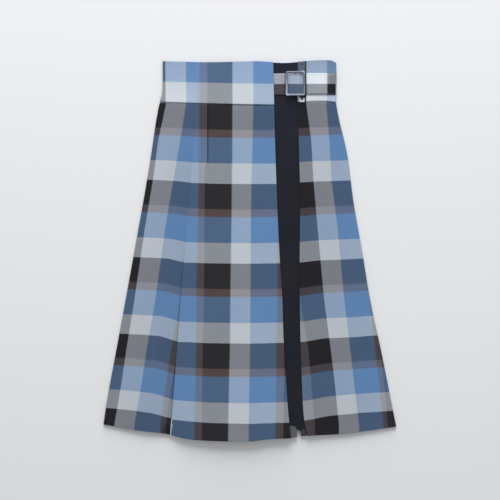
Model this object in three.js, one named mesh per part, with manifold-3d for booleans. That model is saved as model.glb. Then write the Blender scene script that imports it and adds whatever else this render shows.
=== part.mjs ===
// A checked A-line skirt laid flat with its front up: +Y runs to the waist, +Z away from the surface.
// The back lies on the surface, and the front lies on the back and turns round it at both sides.
// Every cloth piece is a closed wall: a grid of rows down the garment and columns across it,
// moved out by its thickness. All sizes are millimetres.
import * as THREE from "three";
import { mergeVertices } from "three/addons/utils/BufferGeometryUtils.js";
import Module from "manifold-3d";

// Cloth and seams
const GORE_CLOTH = 1.5;
const BAND_CLOTH = 2.4; // the waistband is faced, so its wall is thicker
const PLAIN_CLOTH = 1.0; // pleat underlay and pleat returns
const STRAP_CLOTH = 1.6;
const LOOP_CLOTH = 1.0;
const SEAM_GAP = 0.3;
const LAYER_GAP = 0.3;

// Rows of the grids: front and back share them, so that their side seams run alike.
// Columns: a gore and the waistband over it share them, so that their waist seam runs alike.
const GORE_ROWS = 22;
const BAND_ROWS = 5;
const SIDE_COLUMNS = 14;
const CENTRE_COLUMNS = 20;
const RIGHT_COLUMNS = 16;
const BACK_COLUMNS = 26;
const UNDERLAY_ROWS = 16;
const UNDERLAY_COLUMNS = 8;
const RETURN_ROWS = 12;
const RETURN_COLUMNS = 2;
const STRAP_ROWS = 2;
const STRAP_COLUMNS = 44;
const LOOP_ROWS = 40;
const LOOP_COLUMNS = 2;

// Heights of the layers above the surface that the skirt lies on
const RETURN_BASE = GORE_CLOTH + LAYER_GAP;
const UNDERLAY_BASE = RETURN_BASE + PLAIN_CLOTH + LAYER_GAP;
const UNDERLAY_TOP = UNDERLAY_BASE + PLAIN_CLOTH;
const GORE_TOP = 6.0; // outer face of the front where it lies quiet
const GORE_SIDE_HEIGHT = 4.8; // height of the rolled side edge of the gores
const BAND_TOP = 6.8;
const BAND_SIDE_HEIGHT = 5.8;
const BAND_TOP_OVER_STRAP = 8.7;

// Side edges, where the front turns round to the back
const SIDE_SLOPE_WIDTH = 40; // the front sinks to its side edge over this width
const TURN_STEPS = 4;
const SIDE_SEAM_INWARD = 11; // the side seam lies under the garment, this far from its side edge

// The end of the strap lies under the front beside the wrap edge and lifts it
const STRAP_RAMP_START = -38;
const STRAP_RAMP_END = 20;
const WAIST_RAMP = 60; // length below the waist seam over which the gore comes down again

// Flutes: the front and its pleat lift off the back from here down, and most at the hem
const FLUTE_START = 200;
const FLUTE_END = -378;
const FLUTE_POWER = 1.5;

// Outlines, seen from above: x across at the height y
const LEFT_SIDE = [
  { y: 382, x: -175 },
  { y: 321, x: -175.5 },
  { y: 298, x: -181 },
  { y: 261, x: -188 },
  { y: 181, x: -200 },
  { y: 101, x: -213.5 },
  { y: 1, x: -231.5 },
  { y: -99, x: -249.5 },
  { y: -199, x: -268 },
  { y: -299, x: -286.5 },
  { y: -350, x: -294 },
];
const RIGHT_SIDE = [
  { y: 382, x: 172.5 },
  { y: 321, x: 173.5 },
  { y: 298, x: 172.5 },
  { y: 261, x: 179 },
  { y: 221, x: 189 },
  { y: 181, x: 197 },
  { y: 101, x: 207 },
  { y: 1, x: 224.5 },
  { y: -99, x: 241 },
  { y: -199, x: 262.5 },
  { y: -299, x: 282.5 },
  { y: -354, x: 293.5 },
];
const PRINCESS_SEAM = [
  { y: 382, x: -108.5 },
  { y: 293, x: -108.5 },
  { y: 100, x: -123 },
  { y: -73, x: -137.5 },
  { y: -180, x: -145.5 },
  { y: -267, x: -151.8 },
  { y: -325, x: -156.6 },
  { y: -372, x: -160.4 },
];
const WRAP_EDGE = [
  { y: 382, x: 46 },
  { y: 293, x: 48 },
  { y: 141, x: 52.5 },
  { y: 1, x: 58.5 },
  { y: -99, x: 64.5 },
  { y: -179, x: 67 },
  { y: -277, x: 73 },
  { y: -332, x: 77 },
  { y: -376, x: 82 },
];
const RIGHT_GORE_EDGE = [
  { y: 382, x: 96 },
  { y: 293, x: 96 },
  { y: 193, x: 98.5 },
  { y: 110, x: 100.5 },
  { y: -28, x: 99.5 },
  { y: -150, x: 100.5 },
  { y: -278, x: 104.5 },
  { y: -338, x: 108.5 },
  { y: -371, x: 115.5 },
];

// Ends of the pieces: y at x across
const TOP_LINE = [
  { x: -176, y: 379.5 },
  { x: -80, y: 377 },
  { x: 10, y: 379 },
  { x: 46, y: 377 },
  { x: 71, y: 376 },
  { x: 120, y: 380 },
  { x: 155, y: 381.5 },
  { x: 164, y: 380 },
  { x: 170, y: 376.5 },
  { x: 173, y: 371 },
];
const WAIST_SEAM = [
  { x: -181, y: 299 },
  { x: -166, y: 297.5 },
  { x: -36, y: 293 },
  { x: 50, y: 292 },
  { x: 115, y: 298.5 },
  { x: 153, y: 299.5 },
  { x: 175, y: 297 },
];
const FRONT_HEM = [
  { x: -294, y: -347.5 },
  { x: -231, y: -358.5 },
  { x: -173, y: -365.5 },
  { x: -158, y: -368.5 },
  { x: -139, y: -373.5 },
  { x: -111, y: -377.5 },
  { x: -43, y: -380 },
  { x: 0, y: -380 },
  { x: 41, y: -375.5 },
  { x: 82, y: -374 },
  { x: 115, y: -370 },
  { x: 183, y: -366.5 },
  { x: 221, y: -362 },
  { x: 293.5, y: -352 },
];
const BACK_HEM = [
  { x: -284, y: -346 },
  { x: -150, y: -355 },
  { x: 0, y: -359 },
  { x: 150, y: -357 },
  { x: 284, y: -351 },
];
const UNDERLAY_HEM = [
  { x: 50, y: -349 },
  { x: 90, y: -350 },
  { x: 98, y: -360 },
  { x: 107, y: -355 },
  { x: 140, y: -352 },
];

// Height of the flutes at the hem: across is 0 at a piece's left edge and 1 at its right edge
const SIDE_GORE_FLUTE = [
  { across: 0, lift: 0 },
  { across: 0.25, lift: 0.2 },
  { across: 0.45, lift: 0.9 },
  { across: 0.62, lift: 2.2 },
  { across: 0.8, lift: 1.4 },
  { across: 1, lift: 0.3 },
];
const CENTRE_GORE_FLUTE = [
  { across: 0, lift: 1.2 },
  { across: 0.15, lift: 6.5 },
  { across: 0.35, lift: 10 },
  { across: 0.55, lift: 11 },
  { across: 0.75, lift: 10.3 },
  { across: 1, lift: 7.6 },
];
const RIGHT_GORE_FLUTE = [
  { across: 0, lift: 3.6 },
  { across: 0.15, lift: 2.4 },
  { across: 0.35, lift: 1.3 },
  { across: 0.55, lift: 0.8 },
  { across: 0.8, lift: 0.3 },
  { across: 1, lift: 0 },
];
const UNDERLAY_FLUTE = [
  { across: 0, lift: 6 },
  { across: 0.29, lift: 6 },
  { across: 0.71, lift: 3 },
  { across: 1, lift: 1.9 },
];

// Pleat behind the opening of the front
const UNDERLAY_LAP = 22; // how far the underlay reaches under each gore
const RETURN_UNDER = 10; // how far a return reaches under its gore
const RETURN_OUT = 13; // how far it reaches into the opening
const RETURN_OUT_AT_WAIST = 9;

// Strap, buckle and belt loop
const STRAP_LEFT = 24;
const STRAP_RIGHT = 171;
const STRAP_UPPER = 354.5;
const STRAP_LOWER = 312.5;
const STRAP_RISE_START = 66;
const STRAP_RISE_END = 94; // from here on the strap lies on the right waistband
const BUCKLE_CENTRE = new THREE.Vector2(90.9, 334.1);
const BUCKLE_WIDTH = 38.6;
const BUCKLE_LENGTH = 49.2;
const BUCKLE_CORNER = 3;
const BUCKLE_WINDOW_CORNER = 1;
const BUCKLE_RAIL = 3.6;
const BUCKLE_HEIGHT = 3;
const BUCKLE_BEVEL = 0.8;
const BUCKLE_TILT = 0.062; // radians: its right side lies on the belt loop
const BUCKLE_CLEAR = 0.2; // its middle lies this much lower than where it crosses the belt loop
const BAR_WIDTH = 4;
const BAR_HEIGHT = 1.2;
const BAR_LEG = 1.3;
const BAR_LEG_INSET = 0.2; // from the frame's outer edge
const LOOP_LEFT = 98.7;
const LOOP_RIGHT = 112;
const LOOP_UPPER = 377;
const LOOP_LOWER = 297.5;
const LOOP_RAMP = 6; // length over which the loop climbs on to the strap
const LOOP_CLEAR = 1; // from the end of the climb to the edge of the strap

// Working values of the construction
const SETTLING_PASSES = 6; // where a point lies across depends on where it lies down, and back
const MERGE_WITHIN = 1e-4;

const lerp = THREE.MathUtils.lerp;
const clamp = THREE.MathUtils.clamp;
const smooth = THREE.MathUtils.smoothstep;

// A smooth curve through a table: the value of one column at a value of another.
function curveThrough(table, from, to) {
  const rows = [...table].sort((a, b) => a[from] - b[from]);
  const slope = (i) => {
    const before = rows[Math.max(i - 1, 0)];
    const after = rows[Math.min(i + 1, rows.length - 1)];
    return (after[to] - before[to]) / (after[from] - before[from]);
  };
  return (value) => {
    const at = clamp(value, rows[0][from], rows[rows.length - 1][from]);
    let i = 0;
    while (i < rows.length - 2 && rows[i + 1][from] < at) i += 1;
    const width = rows[i + 1][from] - rows[i][from];
    const t = (at - rows[i][from]) / width;
    const rise = rows[i + 1][to] - rows[i][to];
    const start = slope(i) * width;
    const end = slope(i + 1) * width;
    const bend = start + end - 2 * rise;
    return rows[i][to] + t * (start + t * (3 * rise - 2 * start - end + t * bend));
  };
}

const leftSide = curveThrough(LEFT_SIDE, "y", "x");
const rightSide = curveThrough(RIGHT_SIDE, "y", "x");
const princessSeam = curveThrough(PRINCESS_SEAM, "y", "x");
const wrapEdge = curveThrough(WRAP_EDGE, "y", "x");
const rightGoreEdge = curveThrough(RIGHT_GORE_EDGE, "y", "x");
const topLine = curveThrough(TOP_LINE, "x", "y");
const waistSeam = curveThrough(WAIST_SEAM, "x", "y");
const frontHem = curveThrough(FRONT_HEM, "x", "y");
const backHem = curveThrough(BACK_HEM, "x", "y");
const underlayHem = curveThrough(UNDERLAY_HEM, "x", "y");
const shifted = (curve, by) => (value) => curve(value) + by;

// A closed wall from a grid of points on its middle surface: rows run down, columns run to the right
// on the outside, so the outer face is on the side of (down x right). The first and last row keep
// their y, so that neighbours stay the seam gap apart.
function wall(grid, thickness) {
  const rows = grid.length;
  const columns = grid[0].length;
  const positions = [];
  for (const side of [0.5, -0.5]) {
    for (let i = 0; i < rows; i += 1) {
      for (let j = 0; j < columns; j += 1) {
        const down = grid[Math.min(i + 1, rows - 1)][j].clone();
        down.sub(grid[Math.max(i - 1, 0)][j]);
        const across = grid[i][Math.min(j + 1, columns - 1)].clone();
        across.sub(grid[i][Math.max(j - 1, 0)]);
        const normal = down.cross(across).normalize();
        const point = grid[i][j].clone().addScaledVector(normal, side * thickness);
        if (i === 0 || i === rows - 1) point.y = grid[i][j].y;
        positions.push(point.x, point.y, Math.max(point.z, 0));
      }
    }
  }
  const outer = (i, j) => i * columns + j;
  const inner = (i, j) => rows * columns + i * columns + j;
  const faces = [];
  const quad = (a, b, c, d) => faces.push(a, b, c, a, c, d);
  for (let i = 0; i < rows - 1; i += 1) {
    for (let j = 0; j < columns - 1; j += 1) {
      quad(outer(i, j), outer(i + 1, j), outer(i + 1, j + 1), outer(i, j + 1));
      quad(inner(i, j), inner(i, j + 1), inner(i + 1, j + 1), inner(i + 1, j));
    }
    quad(outer(i, 0), inner(i, 0), inner(i + 1, 0), outer(i + 1, 0));
    const last = columns - 1;
    quad(outer(i, last), outer(i + 1, last), inner(i + 1, last), inner(i, last));
  }
  for (let j = 0; j < columns - 1; j += 1) {
    const last = rows - 1;
    quad(outer(0, j), outer(0, j + 1), inner(0, j + 1), inner(0, j));
    quad(outer(last, j), inner(last, j), inner(last, j + 1), outer(last, j + 1));
  }
  const geometry = new THREE.BufferGeometry();
  geometry.setAttribute("position", new THREE.Float32BufferAttribute(positions, 3));
  geometry.setIndex(faces);
  geometry.computeVertexNormals();
  return geometry;
}

// The rolled edge of a wall: round from its upper face to the surface, then flat under the garment.
// side is 1 on the right of the garment and -1 on the left; points run from the front to the back.
function turnedEdge(edge, height, thickness, side) {
  const radius = (height - thickness) / 2;
  const points = [];
  for (let k = 1; k <= TURN_STEPS; k += 1) {
    const angle = (Math.PI * k) / TURN_STEPS;
    const x = edge.x + side * radius * Math.sin(angle);
    points.push(new THREE.Vector3(x, edge.y, height / 2 + radius * Math.cos(angle)));
  }
  const seam = edge.x + side * (height / 2 - SIDE_SEAM_INWARD);
  points.push(new THREE.Vector3(seam, edge.y, thickness / 2));
  return points;
}

// A piece of cloth between two lines down the garment and two across it.
// outerFace gives the height of its outer face at (x, y, across), from 0 at the left to 1 at the right.
function clothPiece(piece) {
  const { left, right, top, bottom, rows, columns, thickness, outerFace } = piece;
  const turn = piece.turn ?? 0;
  const reach = turn ? piece.sideHeight / 2 : 0;
  const inset = SEAM_GAP / 2;
  const grid = [];
  for (let i = 0; i <= rows; i += 1) {
    const line = [];
    for (let j = 0; j <= columns; j += 1) {
      const across = j / columns;
      let y = lerp(top(0), bottom(0), i / rows);
      let x = 0;
      for (let pass = 0; pass < SETTLING_PASSES; pass += 1) {
        const start = left(y) + (turn < 0 ? reach : inset);
        const end = right(y) - (turn > 0 ? reach : inset);
        x = lerp(start, end, across);
        y = lerp(top(x) - inset, bottom(x) + (piece.freeHem ? 0 : inset), i / rows);
      }
      line.push(new THREE.Vector3(x, y, outerFace(x, y, across) - thickness / 2));
    }
    if (turn > 0) line.push(...turnedEdge(line[columns], piece.sideHeight, thickness, 1));
    if (turn < 0) line.unshift(...turnedEdge(line[0], piece.sideHeight, thickness, -1).reverse());
    grid.push(line);
  }
  return wall(grid, thickness);
}

// How far the front has lifted at y for a flute whose height at the hem comes from a table.
function fluteLift(table) {
  const atHem = curveThrough(table, "across", "lift");
  return (y, across) => {
    const down = clamp((FLUTE_START - y) / (FLUTE_START - FLUTE_END), 0, 1);
    return atHem(across) * down ** FLUTE_POWER;
  };
}

// Height of a front piece that sinks to its rolled side edge.
function settled(distance, sideHeight, height) {
  return sideHeight + (height - sideHeight) * smooth(distance, 0, SIDE_SLOPE_WIDTH);
}

const strapLift = (x) => smooth(x, STRAP_RAMP_START, STRAP_RAMP_END);

// Outer faces of the front waistband at its two sides.
function sideBandTop(x, y) {
  return settled(x - leftSide(y) - BAND_SIDE_HEIGHT / 2, BAND_SIDE_HEIGHT, BAND_TOP);
}

function rightBandTop(x, y) {
  return settled(rightSide(y) - BAND_SIDE_HEIGHT / 2 - x, BAND_SIDE_HEIGHT, BAND_TOP);
}

const sideFlute = fluteLift(SIDE_GORE_FLUTE);
const centreFlute = fluteLift(CENTRE_GORE_FLUTE);
const rightFlute = fluteLift(RIGHT_GORE_FLUTE);
const underlayFlute = fluteLift(UNDERLAY_FLUTE);

// How far the layers of the pleat have lifted at (x, y): its returns lie just under the underlay.
function pleatLift(x, y) {
  const left = wrapEdge(y) - UNDERLAY_LAP;
  const right = rightGoreEdge(y) + UNDERLAY_LAP;
  return underlayFlute(y, clamp((x - left) / (right - left), 0, 1));
}

function frontSideGore() {
  return clothPiece({
    left: leftSide,
    right: princessSeam,
    top: waistSeam,
    bottom: frontHem,
    rows: GORE_ROWS,
    columns: SIDE_COLUMNS,
    thickness: GORE_CLOTH,
    turn: -1,
    sideHeight: GORE_SIDE_HEIGHT,
    freeHem: true,
    outerFace: (x, y, across) =>
      settled(x - leftSide(y) - GORE_SIDE_HEIGHT / 2, GORE_SIDE_HEIGHT, GORE_TOP) +
      sideFlute(y, across),
  });
}

function frontCentreGore() {
  return clothPiece({
    left: princessSeam,
    right: wrapEdge,
    top: waistSeam,
    bottom: frontHem,
    rows: GORE_ROWS,
    columns: CENTRE_COLUMNS,
    thickness: GORE_CLOTH,
    freeHem: true,
    outerFace: (x, y, across) => {
      const nearWaist = smooth(y, waistSeam(x) - WAIST_RAMP, waistSeam(x));
      const overStrap = (BAND_TOP_OVER_STRAP - BAND_TOP) * strapLift(x) * nearWaist;
      return GORE_TOP + overStrap + centreFlute(y, across);
    },
  });
}

function frontRightGore() {
  return clothPiece({
    left: rightGoreEdge,
    right: rightSide,
    top: waistSeam,
    bottom: frontHem,
    rows: GORE_ROWS,
    columns: RIGHT_COLUMNS,
    thickness: GORE_CLOTH,
    turn: 1,
    sideHeight: GORE_SIDE_HEIGHT,
    freeHem: true,
    outerFace: (x, y, across) =>
      settled(rightSide(y) - GORE_SIDE_HEIGHT / 2 - x, GORE_SIDE_HEIGHT, GORE_TOP) +
      rightFlute(y, across),
  });
}

function sideWaistband() {
  return clothPiece({
    left: leftSide,
    right: princessSeam,
    top: topLine,
    bottom: waistSeam,
    rows: BAND_ROWS,
    columns: SIDE_COLUMNS,
    thickness: BAND_CLOTH,
    turn: -1,
    sideHeight: BAND_SIDE_HEIGHT,
    outerFace: sideBandTop,
  });
}

function centreWaistband() {
  return clothPiece({
    left: princessSeam,
    right: wrapEdge,
    top: topLine,
    bottom: waistSeam,
    rows: BAND_ROWS,
    columns: CENTRE_COLUMNS,
    thickness: BAND_CLOTH,
    outerFace: (x) => lerp(BAND_TOP, BAND_TOP_OVER_STRAP, strapLift(x)),
  });
}

function rightWaistband() {
  return clothPiece({
    left: rightGoreEdge,
    right: rightSide,
    top: topLine,
    bottom: waistSeam,
    rows: BAND_ROWS,
    columns: RIGHT_COLUMNS,
    thickness: BAND_CLOTH,
    turn: 1,
    sideHeight: BAND_SIDE_HEIGHT,
    outerFace: rightBandTop,
  });
}

function backPanel() {
  const inward = SIDE_SEAM_INWARD + SEAM_GAP / 2;
  return clothPiece({
    left: shifted(leftSide, inward),
    right: shifted(rightSide, -inward),
    top: waistSeam,
    bottom: backHem,
    rows: GORE_ROWS,
    columns: BACK_COLUMNS,
    thickness: GORE_CLOTH,
    freeHem: true,
    outerFace: () => GORE_CLOTH,
  });
}

function backWaistband() {
  const inward = SIDE_SEAM_INWARD + SEAM_GAP / 2;
  return clothPiece({
    left: shifted(leftSide, inward),
    right: shifted(rightSide, -inward),
    top: topLine,
    bottom: waistSeam,
    rows: BAND_ROWS,
    columns: BACK_COLUMNS,
    thickness: BAND_CLOTH,
    outerFace: () => BAND_CLOTH,
  });
}

function pleatUnderlay() {
  return clothPiece({
    left: shifted(wrapEdge, -UNDERLAY_LAP),
    right: shifted(rightGoreEdge, UNDERLAY_LAP),
    top: topLine,
    bottom: underlayHem,
    rows: UNDERLAY_ROWS,
    columns: UNDERLAY_COLUMNS,
    thickness: PLAIN_CLOTH,
    freeHem: true,
    outerFace: (x, y) => UNDERLAY_TOP + pleatLift(x, y),
  });
}

function pleatReturn(edge, side) {
  const reach = (y) => lerp(RETURN_OUT, RETURN_OUT_AT_WAIST, smooth(y, FLUTE_END, FLUTE_START));
  const inner = (y) => edge(y) + side * reach(y);
  const outer = shifted(edge, -side * RETURN_UNDER);
  return clothPiece({
    left: side > 0 ? outer : inner,
    right: side > 0 ? inner : outer,
    top: waistSeam,
    bottom: frontHem,
    rows: RETURN_ROWS,
    columns: RETURN_COLUMNS,
    thickness: PLAIN_CLOTH,
    freeHem: true,
    outerFace: (x, y) => RETURN_BASE + PLAIN_CLOTH + pleatLift(x, y),
  });
}

// The strap lies on the underlay, climbs over the bar of the buckle and runs on along the waistband.
const STRAP_LOW_BASE = UNDERLAY_TOP + LAYER_GAP;

function strap() {
  return clothPiece({
    left: () => STRAP_LEFT,
    right: () => STRAP_RIGHT,
    top: () => STRAP_UPPER,
    bottom: () => STRAP_LOWER,
    rows: STRAP_ROWS,
    columns: STRAP_COLUMNS,
    thickness: STRAP_CLOTH,
    outerFace: (x, y) => {
      const onBand = rightBandTop(x, y) + LAYER_GAP;
      const climb = smooth(x, STRAP_RISE_START, STRAP_RISE_END);
      return lerp(STRAP_LOW_BASE, onBand, climb) + STRAP_CLOTH;
    },
  });
}

// The belt loop is sewn to the waistband above and below the strap and bridges it.
function beltLoop() {
  const low = BAND_TOP + LAYER_GAP + LOOP_CLOTH;
  const high = low + STRAP_CLOTH + LAYER_GAP;
  return clothPiece({
    left: () => LOOP_LEFT,
    right: () => LOOP_RIGHT,
    top: () => LOOP_UPPER,
    bottom: () => LOOP_LOWER,
    rows: LOOP_ROWS,
    columns: LOOP_COLUMNS,
    thickness: LOOP_CLOTH,
    outerFace: (x, y) => {
      const start = STRAP_LOWER - LOOP_CLEAR;
      const end = STRAP_UPPER + LOOP_CLEAR;
      const raised = smooth(y, start - LOOP_RAMP, start) - smooth(y, end, end + LOOP_RAMP);
      return lerp(low, high, raised);
    },
  });
}

function roundedRectangle(target, width, length, corner) {
  const x = width / 2;
  const y = length / 2;
  target.moveTo(-x + corner, -y);
  target.lineTo(x - corner, -y);
  target.absarc(x - corner, -y + corner, corner, -Math.PI / 2, 0, false);
  target.lineTo(x, y - corner);
  target.absarc(x - corner, y - corner, corner, 0, Math.PI / 2, false);
  target.lineTo(-x + corner, y);
  target.absarc(-x + corner, y - corner, corner, Math.PI / 2, Math.PI, false);
  target.lineTo(-x, -y + corner);
  target.absarc(-x + corner, -y + corner, corner, Math.PI, 1.5 * Math.PI, false);
  return target;
}

const wasm = await Module();
wasm.setup();

function solidOf(geometry) {
  const plain = geometry.clone();
  plain.deleteAttribute("normal");
  plain.deleteAttribute("uv");
  const merged = mergeVertices(plain, MERGE_WITHIN);
  return new wasm.Manifold(
    new wasm.Mesh({
      numProp: 3,
      vertProperties: merged.attributes.position.array,
      triVerts: new Uint32Array(merged.index.array),
    }),
  );
}

function geometryOf(solid) {
  const mesh = solid.getMesh();
  const geometry = new THREE.BufferGeometry();
  geometry.setAttribute("position", new THREE.Float32BufferAttribute(mesh.vertProperties, 3));
  geometry.setIndex(new THREE.BufferAttribute(mesh.triVerts, 1));
  geometry.computeVertexNormals();
  return geometry;
}

// The buckle is a frame over the strap, with a bar that crosses behind the strap.
function buckle() {
  const inset = BUCKLE_BEVEL;
  const outline = roundedRectangle(
    new THREE.Shape(),
    BUCKLE_WIDTH - 2 * inset,
    BUCKLE_LENGTH - 2 * inset,
    BUCKLE_CORNER - inset,
  );
  const windowWidth = BUCKLE_WIDTH - 2 * BUCKLE_RAIL;
  const windowLength = BUCKLE_LENGTH - 2 * BUCKLE_RAIL;
  const window = roundedRectangle(
    new THREE.Path(),
    windowWidth + 2 * inset,
    windowLength + 2 * inset,
    BUCKLE_WINDOW_CORNER + inset,
  );
  outline.holes.push(window);
  const frame = new THREE.ExtrudeGeometry(outline, {
    depth: BUCKLE_HEIGHT - 2 * BUCKLE_BEVEL,
    bevelEnabled: true,
    bevelThickness: BUCKLE_BEVEL,
    bevelSize: BUCKLE_BEVEL,
    bevelSegments: 2,
    curveSegments: 4,
  });
  frame.translate(0, 0, BUCKLE_BEVEL);
  frame.rotateY(-BUCKLE_TILT);
  const loopTop = BAND_TOP + STRAP_CLOTH + LOOP_CLOTH + 2 * LAYER_GAP;
  const frameBase = loopTop + LAYER_GAP - BUCKLE_CLEAR;
  frame.translate(BUCKLE_CENTRE.x, BUCKLE_CENTRE.y, frameBase);
  let solid = solidOf(frame);
  const barBase = STRAP_LOW_BASE;
  const legTop = frameBase + BUCKLE_HEIGHT / 2;
  const bar = new THREE.BoxGeometry(BAR_WIDTH, BUCKLE_LENGTH - BAR_LEG, BAR_HEIGHT);
  bar.translate(BUCKLE_CENTRE.x, BUCKLE_CENTRE.y, barBase + BAR_HEIGHT / 2);
  solid = solid.add(solidOf(bar));
  for (const side of [-1, 1]) {
    const leg = new THREE.BoxGeometry(BAR_WIDTH, BAR_LEG, legTop - barBase);
    const y = BUCKLE_CENTRE.y + side * ((BUCKLE_LENGTH - BAR_LEG) / 2 - BAR_LEG_INSET);
    leg.translate(BUCKLE_CENTRE.x, y, (legTop + barBase) / 2);
    solid = solid.add(solidOf(leg));
  }
  return geometryOf(solid);
}

const checkedCloth = new THREE.MeshStandardMaterial({ color: 0x6f83a0, roughness: 0.85 });
const darkCloth = new THREE.MeshStandardMaterial({ color: 0x24262f, roughness: 0.9 });
const nickel = new THREE.MeshStandardMaterial({
  color: 0xb4b7bf,
  roughness: 0.5,
  metalness: 1,
});

const skirt = new THREE.Group();

function addPiece(name, geometry, material) {
  const mesh = new THREE.Mesh(geometry, material);
  mesh.name = name;
  skirt.add(mesh);
}

addPiece("back_panel", backPanel(), checkedCloth);
addPiece("back_waistband", backWaistband(), checkedCloth);
addPiece("front_side_gore", frontSideGore(), checkedCloth);
addPiece("front_centre_gore", frontCentreGore(), checkedCloth);
addPiece("front_right_gore", frontRightGore(), checkedCloth);
addPiece("front_side_waistband", sideWaistband(), checkedCloth);
addPiece("front_centre_waistband", centreWaistband(), checkedCloth);
addPiece("front_right_waistband", rightWaistband(), checkedCloth);
addPiece("pleat_underlay", pleatUnderlay(), darkCloth);
addPiece("pleat_return_centre", pleatReturn(wrapEdge, 1), checkedCloth);
addPiece("pleat_return_right", pleatReturn(rightGoreEdge, -1), checkedCloth);
addPiece("strap", strap(), checkedCloth);
addPiece("belt_loop", beltLoop(), checkedCloth);
addPiece("buckle", buckle(), nickel);

// The origin lies on the surface, under the middle of the garment.
const middle = new THREE.Box3().setFromObject(skirt).getCenter(new THREE.Vector3());
skirt.position.set(-middle.x, -middle.y, 0);

export default skirt;
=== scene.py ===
"""A checked A-line skirt, laid flat with its front up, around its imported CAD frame.

Tables and sizes are in millimetres, +Y towards the waist and +Z away from the surface,
and every mesh is made in metres in the frame's own place.
"""

import math

import bmesh
import bpy
import numpy as np
from mathutils import Matrix, Vector


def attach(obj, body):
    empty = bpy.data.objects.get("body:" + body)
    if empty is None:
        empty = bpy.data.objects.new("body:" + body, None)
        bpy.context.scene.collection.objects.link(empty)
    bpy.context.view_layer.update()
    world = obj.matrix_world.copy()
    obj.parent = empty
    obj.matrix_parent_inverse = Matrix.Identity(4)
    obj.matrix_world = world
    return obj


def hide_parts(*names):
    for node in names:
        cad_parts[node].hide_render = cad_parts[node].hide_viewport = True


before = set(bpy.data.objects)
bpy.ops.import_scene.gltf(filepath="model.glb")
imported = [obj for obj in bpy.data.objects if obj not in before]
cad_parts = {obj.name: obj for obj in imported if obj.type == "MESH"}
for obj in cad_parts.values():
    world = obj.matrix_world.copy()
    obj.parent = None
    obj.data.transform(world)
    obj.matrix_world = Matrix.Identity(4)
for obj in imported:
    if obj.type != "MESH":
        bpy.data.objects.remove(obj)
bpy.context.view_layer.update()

MM = 0.001
BODY = "root"
# The tables are drawn about the waist's middle; the frame's origin is under the middle of the box.
SHIFT_X = 0.268
SHIFT_Y = -0.459

# ---- sizes shared with the solids
GORE_CLOTH = 1.5
BAND_CLOTH = 2.4
PLAIN_CLOTH = 1.0
STRAP_CLOTH = 1.6
LOOP_CLOTH = 1.0
SEAM_GAP = 0.3
LAYER_GAP = 0.3
RETURN_TOP = GORE_CLOTH + LAYER_GAP + PLAIN_CLOTH
UNDERLAY_TOP = RETURN_TOP + LAYER_GAP + PLAIN_CLOTH
GORE_TOP = 6.0
GORE_SIDE_HEIGHT = 4.8
BAND_TOP = 6.8
BAND_SIDE_HEIGHT = 5.8
BAND_TOP_OVER_STRAP = 8.7
SIDE_SLOPE_WIDTH = 40
SIDE_SEAM_INWARD = 11
FLUTE_START = 200
FLUTE_END = -378
FLUTE_POWER = 1.5
STRAP_RAMP = (-38, 20)
WAIST_RAMP = 60


# ---- curves
def smooth(value, start, end):
    """0 before start, 1 after end, and a soft step between them."""
    t = np.clip((np.asarray(value, float) - start) / (end - start), 0, 1)
    return t * t * (3 - 2 * t)


def falling(y, start, end):
    """0 above the height start, 1 below the height end, and a soft step between them."""
    return smooth(-y, -start, -end)


def curve_through(table):
    """A smooth curve through (at, value) rows, the one that the solids use."""
    rows = np.array(sorted(table), float)
    at, value = rows[:, 0], rows[:, 1]
    last = len(at) - 1
    before = np.maximum(np.arange(last + 1) - 1, 0)
    after = np.minimum(np.arange(last + 1) + 1, last)
    slope = (value[after] - value[before]) / (at[after] - at[before])

    def curve(where):
        where = np.clip(np.asarray(where, float), at[0], at[-1])
        i = np.clip(np.searchsorted(at, where, side="left") - 1, 0, last - 1)
        width = at[i + 1] - at[i]
        t = (where - at[i]) / width
        rise = value[i + 1] - value[i]
        start, end = slope[i] * width, slope[i + 1] * width
        bend = start + end - 2 * rise
        return value[i] + t * (start + t * (3 * rise - 2 * start - end + t * bend))

    return curve


def straight_lines(*values):
    """Lines that stay at one x or y each."""
    return tuple(
        lambda where, value=value: np.full_like(np.asarray(where, float), value) for value in values
    )


def shifted(curve, by):
    return lambda where: curve(where) + by


# ---- outlines, seen from above: (y, x) down the garment, (x, y) across it
left_side = curve_through([
    (382, -175), (321, -175.5), (298, -181), (261, -188), (181, -200), (101, -213.5),
    (1, -231.5), (-99, -249.5), (-199, -268), (-299, -286.5), (-350, -294),
])
right_side = curve_through([
    (382, 172.5), (321, 173.5), (298, 172.5), (261, 179), (221, 189), (181, 197),
    (101, 207), (1, 224.5), (-99, 241), (-199, 262.5), (-299, 282.5), (-354, 293.5),
])
princess_seam = curve_through([
    (382, -108.5), (293, -108.5), (100, -123), (-73, -137.5), (-180, -145.5),
    (-267, -151.8), (-325, -156.6), (-372, -160.4),
])
wrap_edge = curve_through([
    (382, 46), (293, 48), (141, 52.5), (1, 58.5), (-99, 64.5), (-179, 67), (-277, 73),
    (-332, 77), (-376, 82),
])
right_gore_edge = curve_through([
    (382, 96), (293, 96), (193, 98.5), (110, 100.5), (-28, 99.5), (-150, 100.5),
    (-278, 104.5), (-338, 108.5), (-371, 115.5),
])
top_line = curve_through([
    (-176, 379.5), (-80, 377), (10, 379), (46, 377), (71, 376), (120, 380), (155, 381.5),
    (164, 380), (170, 376.5), (173, 371),
])
waist_seam = curve_through([
    (-181, 299), (-166, 297.5), (-36, 293), (50, 292), (115, 298.5), (153, 299.5), (175, 297),
])
front_hem = curve_through([
    (-294, -347.5), (-231, -358.5), (-173, -365.5), (-158, -368.5), (-139, -373.5),
    (-111, -377.5), (-43, -380), (0, -380), (41, -375.5), (82, -374), (115, -370),
    (183, -366.5), (221, -362), (293.5, -352),
])
back_hem = curve_through([(-284, -346), (-150, -355), (0, -359), (150, -357), (284, -351)])
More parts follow.
